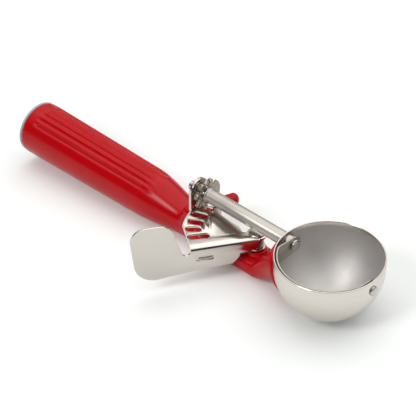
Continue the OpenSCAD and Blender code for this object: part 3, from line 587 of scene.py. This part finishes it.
# centreless-ground tube: rings round it too fine to show, so a satin sheen with soft streaks
satin_steel, tree, shader, place = material(
    "satin_ground_stainless", Base_Color=linear("#B2ADA6"), Metallic=1.0, Roughness=0.36)
streak = add(tree, "Mapping", {"Vector": place, "Scale": (0.1, 1, 1)})
soft = add(tree, "TexNoise", {"Vector": streak.outputs[0], "Scale": 600.0, "Detail": 3.0})
rough = add(tree, "MapRange", {0: soft.outputs[0], 1: 0.3, 2: 0.7, 3: 0.38, 4: 0.48})
tree.links.new(rough.outputs[0], shader.inputs["Roughness"])

tube = turned("flared_tube", [(121.01, 2.3), (121.01, 3.8), (121.06, 3.98), (121.2, 4.1), *flare,
                              (133, 3.5), (174.7, 3.5), (174.95, 3.3), (174.95, 2.3),
                              (121.01, 2.3)],
              "X", (0, 0, shaft_z), satin_steel, ring=True, sides=96, smooth=40)
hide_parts("shaft_tube")
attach(tube, "shaft")

rod = turned("drive_rod_bar", rounded(
    [(109.6, 0), (109.6, 2.25), (112.62, 2.25), (112.62, 1.85), (113.52, 1.85), (113.52, 2.25),
     (177.01, 2.25), (177.01, 0)], 0.3), "X", (0, 0, shaft_z), turned_steel, sides=64, smooth=40)
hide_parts("drive_rod")
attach(rod, "shaft")

# ---- star wheel, spacer, clip and nut ----
# The wheel is stamped with five long round-ended teeth and a plain lobe. The spacer keeps it off
# the bracket, the C-shaped clip sits in the rod's groove, and the nut holds the blade's rear ear.

# stainless for the wheel and spacer, duller than the turned parts: its darker, browner grey is
# painted shade, the shade between the wheel and the bracket, with a mottle of about 1 mm
shade_darkened_steel, tree, shader, place = material(
    "shade_darkened_stainless", Base_Color=linear("#9A9184"), Metallic=1.0, Roughness=0.27)
mottle = add(tree, "TexNoise", {"Vector": place, "Scale": 800.0, "Detail": 4.0})
# the mottle runs between two greys, both darkened as painted shade
shade = add(tree, "Mix", {0: mottle.outputs[0], 6: linear("#8A8175"), 7: linear("#AAA194")},
            data_type="RGBA")
tree.links.new(shade.outputs[2], shader.inputs["Base Color"])
rough = add(tree, "MapRange", {0: mottle.outputs[0], 1: 0.3, 2: 0.75, 3: 0.2, 4: 0.36})
tree.links.new(rough.outputs[0], shader.inputs["Roughness"])

# the wheel and its spacer are drawn in the darker grey that is painted shade
star = stamped("star_wheel", "pinion", shade_darkened_steel, 0.2)
clip = stamped("retaining_clip", "rear_clip", spring_steel, 0.12)
for made, node, slot in ((star, "pinion", "turned_steel"), (clip, "rear_clip", "spring_steel")):
    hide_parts(node)
    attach(made, "shaft")
washer("wheel_spacer", "pinion_spacer", "shaft", "X", (0, 0, shaft_z), 115.05, 3.9, 3.6, 2.3,
       shade_darkened_steel)
washer("staked_nut", "rod_nut", "shaft", "X", (0, 0, shaft_z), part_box("rod_nut")[0].x * 1000, 1.1,
       3.1, 2.3, turned_steel)

# ---- scraper blade ----
# Strip of 0.7 mm satin stainless bent to the bowl's curve, with a round ear at each end: the rear
# one is held on the rod by the nut, and the front one turns on the rivet.
blade = stamped("scraper_strip", "scraper_blade", satin_steel, 0.1, smooth=40)
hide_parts("scraper_blade")
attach(blade, "shaft")

# ---- studio ----
# The scoop lies on a nearly white matt sheet that is faintly lit itself, on its grip and the bottom
# of its bowl, under a broad softbox overhead and a small one low at the front.


def points_of(made):
    """A piece's points in metres."""
    flat = np.empty(3 * len(made.data.vertices), np.float32)
    made.data.vertices.foreach_get("co", flat)
    return flat.reshape(-1, 3).astype(float)


# the sheet is the plane z = height + slope x that touches the scoop from below and is highest at a
# place between the two that it rests on
points = np.concatenate([points_of(handle), points_of(bowl)])
between = 0.143
slopes = np.linspace(-0.2, 0.2, 801)
heights = np.array([(points[:, 2] - s * points[:, 0]).min() for s in slopes])
best = int(np.argmax(heights + slopes * between))
slope, height = slopes[best], heights[best]

paper, *_ = material(
    "lit_white_sheet", Base_Color=linear("#DEE1E0"), Roughness=0.9, IOR=1.4,
    Emission_Color=linear("#FFFFFF"), Emission_Strength=0.14)
side, gap = 4.0, 1e-5
x, y = side * np.array([-1, 1, 1, -1]), side * np.array([-1, -1, 1, 1])
mesh = bpy.data.meshes.new("paper_floor")
mesh.from_pydata(np.stack([x, y, height + slope * x - gap], 1).tolist(), [], [(0, 1, 2, 3)])
mesh.materials.append(paper)
floor = bpy.data.objects.new("paper_floor", mesh)
bpy.context.scene.collection.objects.link(floor)


def lamp(name, place, aim, size, power):
    """A white softbox of that size in metres at a place, turned to its aim."""
    light = bpy.data.lights.new(name, "AREA")
    light.shape, light.size, light.size_y = "RECTANGLE", *size
    light.energy = power
    made = bpy.data.objects.new(name, light)
    made.location = place
    made.rotation_euler = (Vector(aim) - Vector(place)).to_track_quat("-Z", "Y").to_euler()
    bpy.context.scene.collection.objects.link(made)


lamp("overhead_softbox", (0.3, 0.45, 1.3), (0.143, 0.1, 0), (2.6, 2.4), 20)
lamp("key_softbox", (0.033, -0.74, 0.7), (0.098, 0, 0), (0.32, 0.32), 4.2)

# the room: light overhead and a little to the far left, and dark towards the sides
world = bpy.data.worlds.new("studio_walls")
world.use_nodes = True
bpy.context.scene.world = world
way = add(world.node_tree, "VectorMath",
          {0: add(world.node_tree, "TexCoord").outputs["Generated"], 1: (-0.35, 0.25, 0.9)},
          operation="DOT_PRODUCT")
lit = add(world.node_tree, "MapRange",
          {0: way.outputs["Value"], 1: 0.35, 2: 0.92, 3: 0.06, 4: 0.9},
          interpolation_type="SMOOTHSTEP")
wall = world.node_tree.nodes["Background"]
wall.inputs["Color"].default_value = linear("#FFFDFA")
world.node_tree.links.new(lit.outputs[0], wall.inputs["Strength"])
# colours come out as they are mixed, so that the sheet stays white
bpy.context.scene.view_settings.view_transform = "Standard"

view = bpy.data.cameras.new("camera")
view.lens, view.sensor_width = 173.08, 36
camera = bpy.data.objects.new("camera", view)
camera.location = (0.6374, -0.5466, 0.61005)
aim = Vector((0.1325, -0.0127, 0.02555)) - camera.location
camera.rotation_euler = aim.to_track_quat("-Z", "Y").to_euler()
bpy.context.scene.collection.objects.link(camera)
bpy.context.scene.camera = camera
